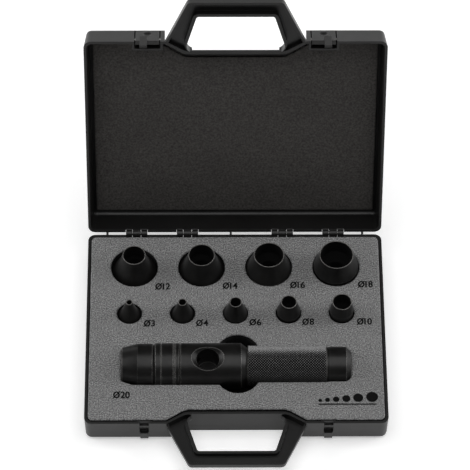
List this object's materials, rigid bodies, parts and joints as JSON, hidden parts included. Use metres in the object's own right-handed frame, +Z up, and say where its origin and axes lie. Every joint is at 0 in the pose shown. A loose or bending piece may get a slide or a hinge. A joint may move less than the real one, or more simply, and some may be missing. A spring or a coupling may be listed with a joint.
{
  "type": "drive hole punch set",
  "caption": "Drive hole punch kit: knurled striking handle with slug window, screw-in round punches, and a foam-lined hinged case with carrying handle",
  "frame": {"origin": "centre of the case's flat underside", "axes": "+Z up out of the base, -Y towards the carrying handle, +X to the right along the hinge"},
  "size_m": [0.165, 0.2073, 0.1608],
  "materials": {
    "case_plastic": "black moulded plastic, satin",
    "latch_plastic": "black moulded plastic, satin",
    "insert_foam": "black closed-cell foam",
    "insert_sheet": "grey fine-grained foam sheet with black print",
    "lid_foam": "dark grey soft foam",
    "pin_steel": "bright drawn steel",
    "handle_steel": "black-oxide steel, oiled",
    "punch_steel": "black-oxide hardened steel, oiled"
  },
  "bodies": {
    "case": {"base_shell": "case_plastic", "foam_backing": "insert_foam", "foam_insert": "insert_foam", "printed_foam_sheet": "insert_sheet", "hinge_pins": "pin_steel"},
    "lid": {"lid_shell": "case_plastic", "lid_foam": "lid_foam", "latch_pins": "pin_steel"},
    "latch_left": {"latch_left": "latch_plastic"},
    "latch_right": {"latch_right": "latch_plastic"},
    "holder": {"holder_body": "handle_steel"},
    "collar": {"adaptor_collar": "handle_steel"},
    "punch_20": {"punch_20": "punch_steel"},
    "punch_03": {"punch_03": "punch_steel"},
    "punch_04": {"punch_04": "punch_steel"},
    "punch_06": {"punch_06": "punch_steel"},
    "punch_08": {"punch_08": "punch_steel"},
    "punch_10": {"punch_10": "punch_steel"},
    "punch_12": {"punch_12": "punch_steel"},
    "punch_14": {"punch_14": "punch_steel"},
    "punch_16": {"punch_16": "punch_steel"},
    "punch_18": {"punch_18": "punch_steel"}
  },
  "joints": [
    {"name": "lid_hinge", "type": "hinge", "parent": "case", "child": "lid", "pos_m": [0, 0.0638, 0.0165], "axis": [-1, 0, 0], "range_deg": [-109, 0]},
    {"name": "latch_left_pivot", "type": "hinge", "parent": "lid", "child": "latch_left", "pos_m": [-0.0479, 0.11083, 0.13113], "axis": [-1, 0, 0], "range_deg": [0, 12], "stiffness_Nm_per_rad": 0.02, "springref_deg": -5.73},
    {"name": "latch_right_pivot", "type": "hinge", "parent": "lid", "child": "latch_right", "pos_m": [0.0479, 0.11083, 0.13113], "axis": [-1, 0, 0], "range_deg": [0, 12], "stiffness_Nm_per_rad": 0.02, "springref_deg": -5.73},
    {"name": "holder_lift", "type": "slide", "parent": "case", "child": "holder", "axis": [0, 0, 1], "range_m": [0, 0.04]},
    {"name": "collar_turn", "type": "hinge", "parent": "holder", "child": "collar", "pos_m": [-0.0378, -0.0252, 0.0153], "axis": [1, 0, 0], "continuous": true},
    {"name": "punch_20_turn", "type": "hinge", "parent": "collar", "child": "punch_20", "pos_m": [-0.054, -0.0252, 0.0153], "axis": [1, 0, 0], "continuous": true},
    {"name": "punch_03_lift", "type": "slide", "parent": "case", "child": "punch_03", "axis": [0, 0, 1], "range_m": [0, 0.03]},
    {"name": "punch_04_lift", "type": "slide", "parent": "case", "child": "punch_04", "axis": [0, 0, 1], "range_m": [0, 0.03]},
    {"name": "punch_06_lift", "type": "slide", "parent": "case", "child": "punch_06", "axis": [0, 0, 1], "range_m": [0, 0.03]},
    {"name": "punch_08_lift", "type": "slide", "parent": "case", "child": "punch_08", "axis": [0, 0, 1], "range_m": [0, 0.03]},
    {"name": "punch_10_lift", "type": "slide", "parent": "case", "child": "punch_10", "axis": [0, 0, 1], "range_m": [0, 0.03]},
    {"name": "punch_12_lift", "type": "slide", "parent": "case", "child": "punch_12", "axis": [0, 0, 1], "range_m": [0, 0.03]},
    {"name": "punch_14_lift", "type": "slide", "parent": "case", "child": "punch_14", "axis": [0, 0, 1], "range_m": [0, 0.03]},
    {"name": "punch_16_lift", "type": "slide", "parent": "case", "child": "punch_16", "axis": [0, 0, 1], "range_m": [0, 0.03]},
    {"name": "punch_18_lift", "type": "slide", "parent": "case", "child": "punch_18", "axis": [0, 0, 1], "range_m": [0, 0.03]}
  ]
}
